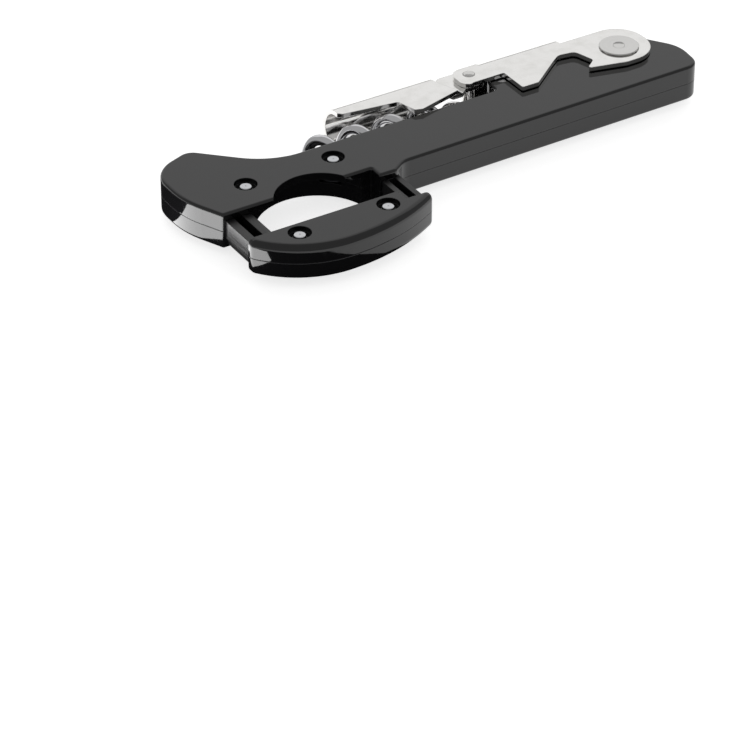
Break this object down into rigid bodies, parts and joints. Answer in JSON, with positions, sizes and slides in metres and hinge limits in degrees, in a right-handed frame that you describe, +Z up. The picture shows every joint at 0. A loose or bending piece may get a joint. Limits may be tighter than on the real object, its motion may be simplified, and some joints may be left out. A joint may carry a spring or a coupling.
{
  "type": "waiter's corkscrew with foil cutter",
  "caption": "Waiter's corkscrew: slim two-shell handle, folding two-step lever, hinged worm, and a spring-return sliding foil cutter with four cutting wheels.",
  "frame": {"origin": "on the axis of the gripped bottle neck, at the middle of the handle's thickness", "axes": "+X along the handle towards the lever pivot, +Y towards the folded levers and worm, +Z up along every hinge pin"},
  "size_m": [0.148, 0.0578, 0.0138],
  "materials": {
    "black_abs": "moulded gloss",
    "black_nylon": "moulded satin",
    "polished_steel": "polished nickel plate",
    "axle_steel": "ground",
    "wheel_steel": "hardened and ground",
    "spring_steel": "drawn wire",
    "screw_steel": "zinc plate",
    "worm_chrome": "chromed wire"
  },
  "bodies": {
    "handle": {"handle_upper_shell": "black_abs", "handle_lower_shell": "black_abs", "handle_screws": "screw_steel", "lever_pivot_rivet": "polished_steel", "lever_pivot_bush": "axle_steel", "worm_pivot_pin": "axle_steel", "fixed_axle_left": "axle_steel", "fixed_axle_right": "axle_steel", "spring_left": "spring_steel", "spring_right": "spring_steel"},
    "wheel_fixed_left": {"fixed_wheel_left": "wheel_steel"},
    "wheel_fixed_right": {"fixed_wheel_right": "wheel_steel"},
    "sliding_jaw": {"jaw_upper_shell": "black_abs", "jaw_lower_shell": "black_abs", "jaw_arm_left": "black_nylon", "jaw_arm_right": "black_nylon", "jaw_axle_left": "axle_steel", "jaw_axle_right": "axle_steel"},
    "wheel_jaw_left": {"jaw_wheel_left": "wheel_steel"},
    "wheel_jaw_right": {"jaw_wheel_right": "wheel_steel"},
    "first_lever": {"lever_first": "polished_steel", "lever_hinge_pin": "polished_steel"},
    "step_lever": {"lever_step": "polished_steel"},
    "worm": {"worm": "worm_chrome"}
  },
  "joints": [
    {"name": "jaw_slide", "type": "slide", "parent": "handle", "child": "sliding_jaw", "axis": [0, 1, 0], "range_m": [0, 0.012], "stiffness_N_per_m": 300, "deforming": ["spring_left", "spring_right"]},
    {"name": "fixed_wheel_left_spin", "type": "hinge", "parent": "handle", "child": "wheel_fixed_left", "pos_m": [-0.0125, 0.013, 0], "axis": [0, 0, 1], "continuous": true},
    {"name": "fixed_wheel_right_spin", "type": "hinge", "parent": "handle", "child": "wheel_fixed_right", "pos_m": [0.0125, 0.013, 0], "axis": [0, 0, 1], "continuous": true},
    {"name": "jaw_wheel_left_spin", "type": "hinge", "parent": "sliding_jaw", "child": "wheel_jaw_left", "pos_m": [-0.0125, -0.013, 0], "axis": [0, 0, 1], "continuous": true},
    {"name": "jaw_wheel_right_spin", "type": "hinge", "parent": "sliding_jaw", "child": "wheel_jaw_right", "pos_m": [0.0125, -0.013, 0], "axis": [0, 0, 1], "continuous": true},
    {"name": "lever_swing", "type": "hinge", "parent": "handle", "child": "first_lever", "pos_m": [0.1032, 0.0198, 0], "axis": [0, 0, -1], "range_deg": [0, 130]},
    {"name": "lever_step_fold", "type": "hinge", "parent": "first_lever", "child": "step_lever", "pos_m": [0.0622, 0.0281, 0], "axis": [0, 0, -1], "range_deg": [0, 90]},
    {"name": "worm_swing", "type": "hinge", "parent": "handle", "child": "worm", "pos_m": [0.0694, 0.0236, 0], "axis": [0, 0, -1], "range_deg": [0, 91]}
  ],
  "couplings": [
    {"joint": "worm_swing", "follows": "lever_swing", "ratio": 0.7}
  ]
}
